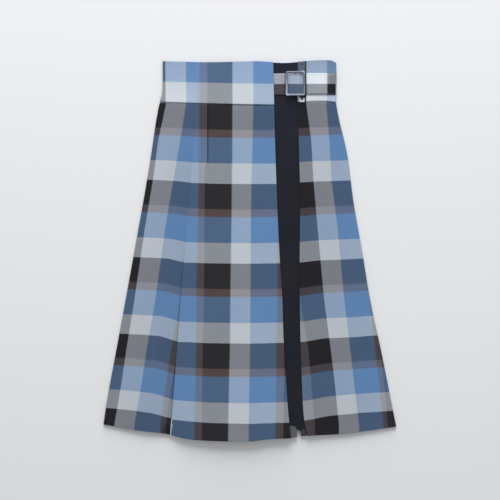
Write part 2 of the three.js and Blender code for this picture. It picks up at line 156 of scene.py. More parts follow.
underlay_hem = curve_through([(50, -349), (90, -350), (98, -360), (107, -355), (140, -352)])
UNDERLAY_LAP = 22
RETURN_UNDER = 10
RETURN_OUT = 13
RETURN_OUT_AT_WAIST = 9
STRAP_BOX = (24, 171, 312.5, 354.5)
STRAP_RISE = (66, 94)
LOOP_BOX = (98.7, 112, 297.5, 377)
LOOP_RAMP = 6
BUCKLE_CENTRE = (90.9, 334.1)
BUCKLE_SIZE = (38.6, 49.2)
BUCKLE_CORNER = 3.0
BUCKLE_RAIL = 3.8
BUCKLE_TILT = 0.062
BUCKLE_HEIGHT = 3
BUCKLE_CLEAR = 0.2
BAR_WIDTH = 4
BAR_HEIGHT = 1.2
BAR_LEG = 1.3
BAR_END = 0.7  # from the frame's outer edge to the end of the bar
BAR_BEVEL = 0.25
SECTION_SIDES = 16
SECTION_POWER = 0.72  # 1 is a round rail, and less is squarer
CORNER_ROUNDER = 0.3  # the frame's corners are this much rounder than the solid's

# ---- view and light
PHOTO_SIZE = 500  # pixels
PIXEL = 2.0  # millimetres that a pixel of the photograph shows at the cloth
WAIST_MIDDLE_PIXEL = (250.0, 250.7)  # where the tables' origin shows
CAMERA_HEIGHT = 2500
CLOTH_HEIGHT = 8
FLOOR_SIZE = 8
FLOOR_Z = -0.0003
FLOOR_FADE = 0.5  # metres from the middle to each end of its fade
# Painted shade: the floor's colour at the front and at the back, darker at the front where the light
# falls off
FLOOR_FRONT = (0.682, 0.688, 0.696)
FLOOR_BACK = (0.724, 0.729, 0.735)
WORLD_COLOUR = (0.96, 0.98, 1.0)
WORLD_STRENGTH = 0.572
KEY_PLACE = (0.1, 5.1, 2.3)  # metres, as its size and the place that it lights
KEY_TARGET = (0, -0.1, 0)
KEY_SIZE = (3.2, 4.4)
KEY_WATTS = 462

# ---- the check
# One repeat of the cloth, in millimetres: across, its second dark stripe is the blacker one.
ACROSS = {
    "light": 41, "blue": 54, "brown": 16, "dark": 54,
    "light_2": 41, "blue_2": 54, "brown_2": 16, "black": 54,
}
DOWN = {"light": 40.4, "dark": 51.2, "rust": 15.6, "blue": 52.3}
ACROSS_REPEAT = sum(ACROSS.values())
DOWN_REPEAT = sum(DOWN.values())
ROW_START = 333.4  # the top of a light row, at the middle of the waistband


# ---- where the check lies
# Each table gives, at a height y, the x of each edge between the coloured columns, left to right,
# or how far a row has dropped at even places across. Beyond its ends it keeps the values there.
ROW_BEND = 0.4  # how softly a row's drop changes from place to place: 0 is straight


def start_of(widths, name):
    """Where a stripe begins in its repeat, in millimetres."""
    names = list(widths)
    return sum(widths[other] for other in names[: names.index(name)])


def middle_of(widths, name):
    """The place of the middle of a stripe, as a share of the repeat."""
    return (start_of(widths, name) + widths[name] / 2) / sum(widths.values())


def places_of(*names):
    """The places of the edges of neighbouring columns; those before the light one are negative."""
    start = start_of(ACROSS, names[0]) - (ACROSS_REPEAT if "light" in names[1:] else 0)
    return np.cumsum([start] + [ACROSS[name] for name in names])


def values_at(table):
    """A function for the values of a table at heights y, from its rows of (y, value, value, ...)."""
    table = np.array(sorted(table), float)
    return lambda y: np.stack([np.interp(y, table[:, 0], column) for column in table[:, 1:].T], -1)


def both_sides(values, slot):
    """The values at a slot and at the one after it."""
    return (np.take_along_axis(values, slot[..., None] + more, -1)[..., 0] for more in (0, 1))


def columns_of(table, places):
    """The place across the repeat at (x, y), from rows of (y, x of each edge) and the edges' places."""
    edges_at = values_at(table)
    places = np.array(places, float)

    def across(x, y):
        edges = edges_at(y)
        slot = np.clip((x[..., None] >= edges).sum(-1) - 1, 0, len(places) - 2)
        low, high = both_sides(edges, slot)
        return places[slot] + (x - low) / (high - low) * (places[slot + 1] - places[slot])

    return across


def rows_of(table, left, right):
    """The place down the repeat at (x, y), from rows of (y, drop at even places across)."""
    drops_at = values_at(table)

    def down(x, y):
        drops = drops_at(y)
        steps = drops.shape[-1] - 1
        share = np.clip((x - left(y)) / (right(y) - left(y)), 0, 1) * steps
        slot = np.clip(np.ceil(share).astype(int) - 1, 0, steps - 1)
        local = share - slot
        local = smooth(local, 0, 1) * ROW_BEND + local * (1 - ROW_BEND)
        low, high = both_sides(drops, slot)
        return ROW_START + low + (high - low) * local - y

    return down


CENTRE_COLUMNS = columns_of(
    [
        (293, -101.5, -85.5, -35, 6.8, 60),
        (176, -102, -85.5, -35.5, 4.4, 57),
        (168, -102.5, -90.5, -36, 3.8, 57),
        (83, -103.5, -91, -36.5, 2, 55.5),
        (-80, -107.5, -92, -39, 1, 54.8),
        (-199, -107.5, -94.5, -40, 0, 52.6),
        (-267, -109, -95.5, -41.8, -1.2, 52.2),
        (-380, -111.5, -96.5, -43.6, -2.8, 50.2),
    ],
    places_of("brown", "dark", "light_2", "blue_2"),
)
SIDE_COLUMNS = columns_of(
    [
        (293, -221.5, -167.5, -128, -73.5, -57.5),
        (221, -237, -183, -139.5, -86, -70),
        (145, -247, -193, -152.8, -101, -85),
        (51, -263, -208.8, -168.8, -119, -103),
        (-99, -285, -230.8, -189.5, -139.5, -123.5),
        (-199, -301, -247, -207, -158, -145),
        (-267, -311, -257, -217, -168.5, -157),
        (-347, -325, -270.6, -231.2, -179, -168.5),
    ],
    places_of("black", "light", "blue", "brown"),
)
RIGHT_COLUMNS = columns_of(
    [
        (293, 38, 58.6, 113.4, 153, 203.5, 213.5),
        (221, 48, 69.5, 123.4, 159, 209, 219),
        (145, 52, 74.5, 127.4, 162.6, 211, 221),
        (51, 61, 83, 135.4, 174.8, 225, 235),
        (-99, 79, 101, 149.2, 188.8, 239, 249),
        (-199, 94, 117, 162.4, 201, 251, 261),
        (-267, 100, 122.5, 170.4, 208.6, 259, 269),
        (-347, 107, 130, 178.6, 218.2, 267.5, 276),
    ],
    places_of("brown_2", "black", "light", "blue", "brown"),
)
BAND_COLUMNS = columns_of(
    [
        (293, -222, -168, -127, -101.5, -85.5, -35, 7.2, 60),
        (382, -222, -169, -128, -101.5, -85.5, -35.2, 6.4, 60),
    ],
    places_of("black", "light", "blue", "brown", "dark", "light_2", "blue_2"),
)
RIGHT_BAND_COLUMNS = columns_of(
    [(293, 58.6, 112.6, 153.5, 207), (382, 60, 114, 154.5, 208)],
    places_of("black", "light", "blue"),
)
# The strap is cut the other way round, and its left end lies in the dark column
STRAP_END_PLACES = (start_of(ACROSS, "dark") + 14, start_of(ACROSS, "dark") - 2)
STRAP_COLUMNS = columns_of(
    [(334, 20, 47, 72.6, 114.2, 154, 208)],
    (*STRAP_END_PLACES, *places_of("black", "light", "blue")[::-1]),
)
SIDE_ROWS = rows_of(
    [
        (299, 3, 3, 2, 1.5), (176, 7.6, 6.8, 5.0, 2.8), (14, 12.6, 11.2, 9.6, 3.2),
        (-145, 18, 16.6, 14.4, 3.8), (-304, 28.8, 25.2, 20, 7), (-350, 35, 29.6, 22, 11.5),
    ],
    left_side, princess_seam,
)
CENTRE_ROWS = rows_of(
    [
        (293, 0.8, 0, 0, 0), (176, 2.2, 0.4, 0, 0), (14, 2.4, 0.6, 0, 0.8),
        (-145, 2.6, 0.6, 0, 1.2), (-304, 5.4, 1, 0, 1.8), (-350, 7.6, 1.4, 0, 1.8),
    ],
    princess_seam, wrap_edge,
)
RIGHT_ROWS = rows_of(
    [
        (299, 4, 4.6, 5, 5.6), (176, 3.2, 4.8, 5.8, 6.8), (14, 2.6, 6.2, 7.6, 9.4),
        (-145, 2.4, 9.6, 11.2, 15), (-304, 3.6, 13.4, 19, 22), (-350, 6.4, 17.4, 23.4, 29),
    ],
    right_gore_edge, right_side,
)
BAND_ROWS = rows_of([(299, 4.6, 2.8, 0.8, -0.6), (382, 4, 2.6, 1.2, 0)], left_side, wrap_edge)
RIGHT_BAND_ROWS = rows_of([(299, 5, 5.6, 5.8, 5), (382, 3, 3, 3, 3)], right_gore_edge, right_side)


def weave_of(columns, rows):
    """Places across and down the repeat at (x, y), as shares of one repeat."""
    return lambda x, y: (columns(x, y) / ACROSS_REPEAT, rows(x, y) / DOWN_REPEAT)


def constant_place(share):
    return lambda x, y: np.full_like(x, share * ACROSS_REPEAT)


def patched(here, column, row, across, down):
    """The places of a check, with the middle of one cell wherever here is true."""
    return (
        np.where(here, middle_of(ACROSS, column), across),
        np.where(here, middle_of(DOWN, row), down),
    )


# A painted highlight along the centre gore's folded edge beside the seam at the hem, drawn in the light
# cell's colour
FOLD_HIGHLIGHT = (-325, -350)  # it begins and is full at these y
FOLD_HIGHLIGHT_WIDTH = 2.4


def centre_weave(x, y):
    """The centre gore's check, with a painted highlight in the light cell's colour along the edge of
    its fold beside the seam at the hem.
    """
    across, down = weave_of(CENTRE_COLUMNS, CENTRE_ROWS)(x, y)
    # where the painted highlight lies
    edge = x < princess_seam(y) + FOLD_HIGHLIGHT_WIDTH * falling(y, *FOLD_HIGHLIGHT)
    return patched(edge, "light", "light", across, down)


# The loop is pieced from scraps of the cloth: thread colours down and across it, from y up. The dark
# cell from 306.6 up to 309 is the buckle's painted shadow.
LOOP_SCRAPS_AND_SHADOW = [
    (296, "light", "light"), (306.6, "dark", "dark"), (309, "blue", "dark"),
    (333.6, "blue", "light"), (357, "blue", "dark"),
]
# Width of the painted shade along the loop's right edge, drawn as the dark cell
LOOP_EDGE_SHADE_WIDTH = 3.2


def loop_weave(x, y):
    across, down = np.zeros_like(x), np.zeros_like(y)
    for start, column, row in LOOP_SCRAPS_AND_SHADOW:
        across, down = patched(y >= start, column, row, across, down)
    # painted shade on the loop's right edge
    return patched(x > LOOP_BOX[1] - LOOP_EDGE_SHADE_WIDTH, "dark", "dark", across, down)


STRAP_DARK_FROM = 333.8  # the strap's light row ends at this y


def strap_weave(x, y):
    down = DOWN["light"] + STRAP_DARK_FROM - y
    return STRAP_COLUMNS(x, y) / ACROSS_REPEAT, down / DOWN_REPEAT


# ---- height of the cloth
def flute(table):
    """How far a piece lifts towards the hem, from rows of (share of its width, lift at the hem)."""
    at_hem = curve_through(table)

    def lift(y, across):
        down = np.clip((FLUTE_START - y) / (FLUTE_START - FLUTE_END), 0, 1)
        return at_hem(across) * down**FLUTE_POWER

    return lift


side_flute = flute([(0, 0), (0.25, 0.2), (0.45, 0.9), (0.62, 2.2), (0.8, 1.4), (1, 0.3)])
centre_flute = flute([(0, 1.2), (0.15, 6.5), (0.35, 10), (0.55, 11), (0.75, 10.3), (1, 7.6)])
right_flute = flute([(0, 3.6), (0.15, 2.4), (0.35, 1.3), (0.55, 0.8), (0.8, 0.3), (1, 0)])
underlay_flute = flute([(0, 6), (0.29, 6), (0.71, 3), (1, 1.9)])

# Soft creases: from (x0, y0) to (x1, y1), half width, and height (a trough is negative)
CREASES = {
    "front_side_gore": [
        (-205, 120, -236, -60, 16, 0.7), (-176, 60, -196, -190, 13, -0.7),
        (-262, -120, -276, -330, 11, -0.8), (-168, -180, -178, -372, 12, -1.1),
        (-232, -190, -240, -365, 15, 0.7), (-150, 240, -168, 140, 10, 0.4),
    ],
    "front_centre_gore": [
        (-100, 60, -122, -200, 20, -0.7), (-60, 190, -70, -40, 16, 0.5),
        (-10, 40, -6, -250, 22, 0.8), (30, -60, 40, -372, 18, -1.0),
        (-128, -230, -136, -372, 11, 0.9), (-84, -220, -90, -376, 16, -0.8),
        (36, 260, 40, 160, 10, -0.4), (-70, 262, -74, 196, 7, 0.35),
    ],
    "front_right_gore": [
        (128, 160, 126, -60, 12, 0.6), (150, 60, 168, -200, 15, -0.8),
        (118, -110, 130, -360, 11, 0.9), (196, -60, 226, -340, 17, 0.8),
        (226, -150, 250, -356, 11, -0.9), (158, 250, 170, 130, 10, -0.4),
    ],
    "front_side_waistband": [(-150, 372, -152, 305, 9, 0.25)],
    "front_centre_waistband": [(-60, 374, -58, 300, 16, 0.3), (10, 372, 14, 300, 12, -0.3)],
    "front_right_waistband": [(140, 376, 142, 306, 9, 0.2)],
    "pleat_underlay": [
        (93, 372, 92, 180, 2.2, 0.35), (70, 100, 76, -180, 7, -0.3), (88, -160, 94, -350, 6, 0.3),
    ],
}
CREASE_GROWS = (-0.15, 0.3)  # shares of its length between which a crease rises
CREASE_FADES = (0.75, 1.15)


def beside_line(x, y, x0, y0, x1, y1):
    """How far (x, y) is along a line and beside it, and the line's length."""
    along = np.array([x1 - x0, y1 - y0], float)
    length = np.hypot(*along)
    along /= length
    run = (x - x0) * along[0] + (y - y0) * along[1]
    aside = -(x - x0) * along[1] + (y - y0) * along[0]
    return run, aside, length


def creases_of(node, x, y):
    """The height that a piece's creases add at (x, y)."""
    total = np.zeros_like(x)
    for x0, y0, x1, y1, width, height in CREASES.get(node, ()):
        run, aside, length = beside_line(x, y, x0, y0, x1, y1)
        fade = smooth(run / length, *CREASE_GROWS) * (1 - smooth(run / length, *CREASE_FADES))
        total += height * fade * np.exp(-((aside / width) ** 2))
    return total


RIPPLE_SIZE = 90
RIPPLE_SHARES = (1.0, 0.6, 0.35)  # height of each wave; the second is half as long, and so on
RIPPLE_TURN = 1.1  # radians from a wave's direction to the next one's
RIPPLE_STRETCH = 0.35  # waves are longer down the garment than across it
SEED_TURN = 2.399
SEED_SHIFT = 1.7


def ripple(x, y, seed):
    """Slow, small unevenness of cloth that has been worn and pressed."""
    total = np.zeros_like(x)
    for k, share in enumerate(RIPPLE_SHARES):
        angle = SEED_TURN * seed + RIPPLE_TURN * k
        across = x * math.cos(angle) + y * math.sin(angle) * RIPPLE_STRETCH
        total += share * np.sin(2 * math.pi * across * (k + 1) / RIPPLE_SIZE + SEED_SHIFT * seed + k)
    return total / 2


# ---- cloth meshes
EDGE_STEPS = (0.35, 0.9, 1.8, 3.2, 5.5)  # rows and columns beside an edge lie this far from it
EVEN_FROM = 1.4  # and the even ones begin this many times as far as the last of them
RIM_ANGLES = (45, 90, 135)


def new_object(name, data):
    made = bpy.data.objects.new(name, data)
    bpy.context.collection.objects.link(made)
    return made


def mesh_object(name, mesh):
    """An object with a mesh whose faces are all smooth."""
    mesh.polygons.foreach_set("use_smooth", [True] * len(mesh.polygons))
    return new_object(name, mesh)


def bmesh_object(name, bm):
    mesh = bpy.data.meshes.new(name)
    bm.to_mesh(mesh)
    bm.free()
    return mesh_object(name, mesh)


def spread(count, length, fine=None):
    """Shares from 0 to 1: even steps, with finer ones beside both ends.

    fine is a stretch that has more steps: its start, its end and their number.
    """
    even = np.linspace(0, 1, count + 1)
    near = np.array(EDGE_STEPS) / length
    inner = even[(even > near[-1] * EVEN_FROM) & (even < 1 - near[-1] * EVEN_FROM)]
    if fine:
        low, high, steps = fine
        inner = inner[(inner < low) | (inner > high)]
        inner = np.sort(np.concatenate([inner, np.linspace(low, high, steps)]))
    return np.concatenate([[0], near, inner, 1 - near[::-1], [1]])


def grid_normals(points):
    down = np.gradient(points, axis=0)
    across = np.gradient(points, axis=1)
    normal = np.cross(down, across)
    return normal / np.linalg.norm(normal, axis=2, keepdims=True)


def wall_object(name, points, thickness, weave, tone, round_edge, pinch, laid):
    """A closed thin shell: the outer face's grid, an inner face and rounded rims.

    pinch is how far the outer face sinks at each grid point, as it does into a seam.
    laid is each grid point's place on the cloth where it lies flat.
    tone is each grid point's brightness, with its painted light and shade, and saturation.
    """
    normal = grid_normals(points)
    outer = points - normal * pinch[..., None]
    inner = points - normal * thickness
    rows, columns = points.shape[:2]
    count = rows * columns
    index = np.arange(count).reshape(rows, columns)
    loop = np.concatenate([index[:, 0], index[-1, 1:], index[-2::-1, -1], index[0, -2:0:-1]])
    flat_outer, flat_inner = outer.reshape(-1, 3), inner.reshape(-1, 3)
    ring_outer, ring_inner = flat_outer[loop], flat_inner[loop]
    centre = (ring_outer + ring_inner) / 2
    tangent = np.roll(centre, -1, 0) - np.roll(centre, 1, 0)
    up = ring_outer - ring_inner
    outward = np.cross(tangent, up)
    outward /= np.linalg.norm(outward, axis=1, keepdims=True)
    half = np.linalg.norm(up, axis=1, keepdims=True) / 2
    rims = []
    for angle in RIM_ANGLES:
        turn = math.radians(angle)
        rims.append(centre + up / 2 * math.cos(turn) + outward * half * round_edge * math.sin(turn))
    vertices = np.concatenate([flat_outer, flat_inner] + rims)
    vertices[:, 2] = np.maximum(vertices[:, 2], 0)
    a, b = index[:-1, :-1].ravel(), index[1:, :-1].ravel()
    c, d = index[1:, 1:].ravel(), index[:-1, 1:].ravel()
    faces = [np.stack([a, b, c, d], 1), np.stack([a, d, c, b], 1) + count]
    around = len(loop)
    levels = [loop] + [2 * count + k * around + np.arange(around) for k in range(len(rims))]
    levels.append(loop + count)
    for upper, lower in zip(levels[:-1], levels[1:]):
        faces.append(np.stack([upper, lower, np.roll(lower, -1), np.roll(upper, -1)], 1))
    faces = np.concatenate(faces)
    flat = laid.reshape(-1, 2)
    maps = {"weave": weave(flat[:, 0], flat[:, 1]), "tone": [part.ravel() for part in tone]}
    place = vertices + np.array([SHIFT_X, SHIFT_Y, 0])
    mesh = bpy.data.meshes.new(name)
    mesh.from_pydata((place * MM).tolist(), [], faces.tolist())
    corners = faces.ravel()
    for map_name, parts in maps.items():
        parts = [np.broadcast_to(part, count) for part in parts]
        values = [
            np.concatenate([part, part] + [part[loop]] * len(rims))[corners] for part in parts
        ]
        layer = mesh.uv_layers.new(name=map_name)
        layer.data.foreach_set("uv", np.stack(values, 1).ravel())
    return mesh_object(name, mesh)


# Painted light and shade of each piece: brightness at a place (x, y), how much it grows over 100 mm
# right and up, and saturation. The slopes paint shade across the gores and towards the waistbands'
# tops, the strap's high level is painted light, and the returns' low levels are painted shade under the
# gores.
PAINTED_SHADING = {
    "front_side_gore": (-190, 0, 0.982, -0.055, 0.007, 1),
    "front_centre_gore": (-40, 0, 1.04, 0.011, 0, 1),
    "front_right_gore": (190, 0, 0.994, 0.054, 0, 1),
    "front_side_waistband": (-140, 340, 1.182, 0, -0.29, 0.98),
    "front_centre_waistband": (-30, 340, 1.169, 0, -0.12, 0.97),
    "front_right_waistband": (150, 340, 1.139, 0, -0.57, 0.84),
    "back_waistband": (0, 340, 1.16, 0, 0, 1),
    "strap": (150, 334, 1.5, 0, 0, 0.88),
    "belt_loop": (105, 334, 1.15, 0, 0, 0.72),
    "pleat_return_centre": (90, -360, 0.5, 0, 0, 1),
    "pleat_return_right": (110, -360, 0.9, 0, 0, 1),
}
# Lines of painted shade and light: from (x0, y0) to (x1, y1), half width, change. They paint shade in
# the dart, beside the side seam at the hem, along the strap's edges, over the strap's left end and
# under the buckle, at the strap's right end, on the waistband's right side and on the loop's right
# edge, the buckle's shadow beside its left rail, and a painted highlight on the strap under the frame's
# top rail.
PAINTED_SHADE_LINES = {
    "front_centre_gore": [(-84.6, 294, -84.6, 176, 1.2, -0.6)],
    "front_side_gore": [(-164, -352, -166, -372, 13, -0.5)],
    "strap": [
        (20, 356, 175, 356, 3, -0.15), (20, 313.2, 175, 313.2, 1.4, -0.12),
        (20, 334, 95, 334, 200, -0.24), (166, 300, 166, 360, 12, -0.44),
        (70.6, 314, 70.6, 355, 1.6, -0.6), (75, 351.5, 105, 351.5, 3.6, 0.34),
    ],
    "belt_loop": [(110.6, 308, 110.6, 333, 2.6, -0.6)],
    "front_right_waistband": [(172, 330, 172, 385, 18, -0.12)],
}
LINE_GROWS = (-4, 2)  # between these distances from its start a line darkens
LINE_FADES = (-2, 6)  # and from its end


def tone_of(node, x, y):
    """Brightness, with its painted light and shade, and saturation of a piece's cloth at (x, y)."""
    x0, y0, level, right, up, saturation = PAINTED_SHADING.get(node, (0, 0, 1, 0, 0, 1))
    brightness = level + right * (x - x0) / 100 + up * (y - y0) / 100
    # each line adds painted shade, or one painted highlight
    for x0, y0, x1, y1, width, change in PAINTED_SHADE_LINES.get(node, ()):
        run, aside, length = beside_line(x, y, x0, y0, x1, y1)
        ends = smooth(run, *LINE_GROWS) * (1 - smooth(run - length, *LINE_FADES))
        brightness = brightness * (1 + change * ends * np.exp(-((aside / width) ** 4)))
    return brightness, np.full_like(x, saturation)


TURN_STEPS = 10  # columns round a turned side edge, and under the garment beside it
UNDER_STEPS = 4
FACE_PASSES = 8  # where a point lies across depends on where it lies down, and back
# Creases and ripples fade out over these shares of a piece's width and length
QUIET_SIDE = 0.08
QUIET_TOP = 0.03
FOLD_RISE = 0.35  # how much thicker than the cloth the fold of a hem or turned-in edge is
FOLD_FALL = (8, 20)  # between these distances from its edge it ends
# How deep the face sinks into the seam at each side of a piece, and over what width
SEAM_PINCH = {"l": (0.9, 1.6), "r": (0.9, 1.6), "t": (0.75, 3.0), "b": (0.35, 1.2)}
PINCH_POWER = 1.3  # 2 would be rounder at the seam
# Painted shade in each seam: how much darker the cloth is there, and over what width
SEAM_SHADE = {"l": (0.08, 0.8), "r": (0.25, 1.1), "t": (0.35, 1.2), "b": (0.3, 1.0)}
SEAM_SHUT = 0.2  # share of its depth that a seam down the garment has at its top, pressed shut
SEAM_OPENS = (160, -60)  # between these y it deepens
SEAM_DARKENS = (0, -60)


def turned(edge, height, side):
    """The outer face round a side edge and under the garment, and how far along the cloth it is."""
    radius = height / 2
    angles = math.pi * np.arange(1, TURN_STEPS + 1) / TURN_STEPS
    under = (SIDE_SEAM_INWARD - radius) * np.arange(1, UNDER_STEPS + 1) / UNDER_STEPS
    lengths = np.concatenate([radius * angles, radius * math.pi + under])
    extra = np.repeat(edge[:, None], len(lengths), 1)
    extra[..., 0] += side * np.concatenate([radius * np.sin(angles), -under])
    extra[..., 2] = np.concatenate([radius + radius * np.cos(angles), 0 * under])
    return extra, lengths


def cloth_piece(
    node, lines, size, thickness, face, weave, turn=0, side_height=0, free_hem=False,
    seams="", folds="", uneven=0, width=120, length=600, fine=None, round_edge=0.5,
):
    """A node's piece of cloth, between two lines down the garment and two across it.

    lines are its left, right, top and bottom one, and size is its columns and rows.
    turn is 1 or -1 where its right or left side turns round under the garment, side_height high.
    seams and folds name the sides, of l, r, t and b, that sink into a seam or end in a fold.
    """
    name = node + "_cloth"
    left, right, top, bottom = lines
    reach = side_height / 2
    inset = SEAM_GAP / 2
    u, v = np.meshgrid(spread(size[0], width, fine), spread(size[1], length))
    y = top(np.zeros_like(u)) * (1 - v) + bottom(np.zeros_like(u)) * v
    for _ in range(FACE_PASSES):
        start = left(y) + (reach if turn < 0 else inset)
        end = right(y) - (reach if turn > 0 else inset)
        x = start + (end - start) * u
        low = bottom(x) + (0 if free_hem else inset)
        y = (top(x) - inset) * (1 - v) + low * v
    quiet = smooth(u, 0, QUIET_SIDE) * (1 - smooth(u, 1 - QUIET_SIDE, 1))
    bumps = creases_of(node, x, y) + uneven * ripple(x, y, len(name))
    z = face(x, y, u) + bumps * quiet * smooth(v, 0, QUIET_TOP)
    pinch = np.zeros_like(z)
    # brightness carries the piece's painted light and shade
    brightness, saturation = tone_of(node, x, y)
    distances = {"l": x - start, "r": end - x, "b": y - low, "t": top(x) - inset - y}
    for mark, distance in distances.items():
        if mark in seams:
            depth, near = SEAM_PINCH[mark]
            dark, wide = SEAM_SHADE[mark]
            if mark in "lr":
                depth = depth * (SEAM_SHUT + (1 - SEAM_SHUT) * falling(y, *SEAM_OPENS))
                dark = dark * falling(y, *SEAM_DARKENS)
            pinch = np.maximum(pinch, depth * np.exp(-((distance / near) ** PINCH_POWER)))
            # the seam's painted shade
            brightness = brightness * (1 - dark * np.exp(-((distance / wide) ** 2)))
        if mark in folds:
            z = z + FOLD_RISE * (1 - smooth(distance, *FOLD_FALL))
    points = np.stack([x, y, z], -1)
    laid = points[..., :2]
    if turn:
        edge = points[:, -1] if turn > 0 else points[:, 0]
        extra, lengths = turned(edge, side_height, turn)
        unrolled = np.stack([edge[:, None, 0] + turn * lengths, edge[:, None, 1] + 0 * lengths], -1)
        points, laid = (
            np.concatenate([kept, more] if turn > 0 else [more[:, ::-1], kept], 1)
            for kept, more in ((points, extra), (laid, unrolled))
        )
        padding = (0, len(lengths)) if turn > 0 else (len(lengths), 0)
        pinch, brightness, saturation = (
            np.pad(part, ((0, 0), padding), mode="edge") for part in (pinch, brightness, saturation)
        )
    tone = brightness, saturation
    return wall_object(name, points, thickness, weave, tone, round_edge, pinch, laid)


# ---- materials
class Shading:
    """A material with its principled shader, and short ways to add nodes to it.

    Constants, such as Sheen_Weight, are set on the shader's own sockets.
    """

    def __init__(self, name, roughness, **constants):
        self.material = bpy.data.materials.new(name)
        self.material.use_nodes = True
        self.tree = self.material.node_tree
        self.shader = self.tree.nodes["Principled BSDF"]
        self.shader.inputs["Roughness"].default_value = roughness
        for key, value in constants.items():
            self.shader.inputs[key.replace("_", " ")].default_value = value

    def node(self, kind, inputs=None, **properties):
        """A new node; each of its inputs is a value or another node's output."""
        node = self.tree.nodes.new("ShaderNode" + kind)
        for key, value in properties.items():
            setattr(node, key, value)
        for key, value in (inputs or {}).items():
            if isinstance(value, bpy.types.NodeSocket):
                self.tree.links.new(value, node.inputs[key])
            else:
                node.inputs[key].default_value = value
        return node

    def math(self, operation, *values):
        return self.node("Math", dict(enumerate(values)), operation=operation).outputs[0]

    def times(self, first, second, added=0.0):
        """The product of two values, and more added to it."""
        return self.math("MULTIPLY_ADD", first, second, added)

    def place(self):
        """The place on the object, in metres."""
        return self.node("TexCoord").outputs["Object"]

    def uv(self, name):
        """A map of the mesh, and its two values."""
        uv = self.node("UVMap", uv_map=name).outputs[0]
        return uv, *self.split(uv)[:2]

    def split(self, vector):
        return self.node("SeparateXYZ", {0: vector}).outputs

    def noise(self, place, scale, detail=2.0):
        inputs = {"Vector": place, "Scale": scale, "Detail": detail}
        return self.node("TexNoise", inputs).outputs["Fac"]

    def between(self, value, start, end, low=0.0, high=1.0):
        """A value that goes from low to high while another goes from start to end."""
        inputs = {"Value": value, "From Min": start, "From Max": end, "To Min": low, "To Max": high}
        return self.node("MapRange", inputs).outputs[0]

    def ramp(self, value, start, first, end, last):
        """The first colour up to start, the last one from end, and a blend between them."""
        ramp = self.node("ValToRGB", {"Fac": value})
        for element, at, colour in zip(ramp.color_ramp.elements, (start, end), (first, last)):
            element.position = at
            element.color = (*colour, 1)
        return ramp.outputs["Color"]

    def grey(self, colour):
        return self.node("RGBToBW", {0: colour}).outputs[0]

    def gamma(self, colour, power):
        return self.node("Gamma", {0: colour, 1: power}).outputs[0]

    def mix(self, share, first, second, **properties):
        inputs = {0: share, 6: first, 7: second}
        return self.node("Mix", inputs, data_type="RGBA", **properties).outputs[2]

    def colour(self, colour, value, saturation=1.0):
        """Gives the shader a colour, made brighter or darker by a value."""
        inputs = {"Color": colour, "Value": value, "Saturation": saturation}
        self.feed("Base Color", self.node("HueSaturation", inputs).outputs["Color"])

    def bump(self, height, strength, distance):
        inputs = {"Height": height, "Strength": strength, "Distance": distance}
        self.feed("Normal", self.node("Bump", inputs).outputs[0])

    def feed(self, name, output):
        self.tree.links.new(output, self.shader.inputs[name])


def stripes(cloth, position, widths, colours, soft):
    """A repeat of plain stripes along a position that counts repeats.

    soft gives, for a stripe's name, over how many millimetres it begins.
    """
    ramp = cloth.node("ValToRGB", {"Fac": cloth.math("FRACT", position)})
    total = sum(widths.values())
    names = list(widths)
    stops = [(0, names[0])]
    for name, following in zip(names, names[1:]):
        start = start_of(widths, following)
        half = soft.get(following.removesuffix("_2"), EDGE_SOFTNESS) / 2
        stops += [(start - half, name), (start + half, following)]
    stops.append((total - EDGE_SOFTNESS, names[-1]))
    elements = ramp.color_ramp.elements
    for k, (at, name) in enumerate(stops):
        element = elements[k] if k < 2 else elements.new(1)
        element.position = at / total
        element.color = (*colours[name.removesuffix("_2")], 1)
    closing = elements.new(1)
    closing.color = (*colours[names[0]], 1)
    return ramp.outputs["Color"]


# Thread colours, linear, of the threads that run down and those that run across
DOWN_THREADS = {
    "light": (0.321, 0.349, 0.434), "blue": (0.0670, 0.1437, 0.324),
    "brown": (0.0742, 0.0596, 0.0939), "dark": (0.0080, 0.0069, 0.0284),
    "black": (0.0015, 0.0005, 0.0183),
}
ACROSS_THREADS = {
    "light": (0.546, 0.608, 0.631), "dark": (0.0290, 0.0273, 0.0075),
    "rust": (0.170, 0.115, 0.0701), "blue": (0.1255, 0.2666, 0.454),
}
RUST_AT_THE_SIDES = (0.137, 0.114, 0.094)
MIX_POWER = 0.769  # thread colours darken each other a little where they cross
ACROSS_SHARE = 0.457
MIX_GREYING = 0.362  # threads of unlike lightness also grey each other
LIGHT_GREYING = 0.32  # and so does the palest cloth
PALE_CLOTH = (0.33, 0.48)  # from this grey to that one
# Painted shade: lower down the pleat the underlay darkens, between these heights, to the share below
UNDERLAY_SHADE_SPAN = (0.23, 0.13)  # metres up the frame, from the first down to the second
UNDERLAY_SHADE = 0.84
TWILL_PITCH = 1.3
THREAD_PITCH = 0.55
PLAIN_PITCH = 0.6
EDGE_SOFTNESS = 0.9
WANDER = 0.006  # how far the stripes wander, as a share of the repeat
WARP_SOFT = {"brown": 4.5, "dark": 2}  # stripes that begin more softly
WEFT_SOFT = {"rust": 2, "blue": 2}
TWILL_SHARE = 0.12  # how much more of the threads across shows on a twill's ridge
PATCHES, SLUBS, LEAST = 0.08, 0.06, 0.93  # brightness of large and fine unevenness, and without
WEAVE_BUMP = (0.35, 0.00012)  # strength, and height in metres
PLAIN_BUMP = (0.3, 0.0001)
THREAD_SHADES = (0.75, 1.2)
CLOTH_SHINE = {"Sheen_Roughness": 0.5, "Specular_IOR_Level": 0.15}


def wave(cloth, place, repeat, pitch):
    """Threads along a place that counts repeats: a sine wave of their pitch."""
    return cloth.math("SINE", cloth.times(place, 2 * math.pi * repeat / pitch))


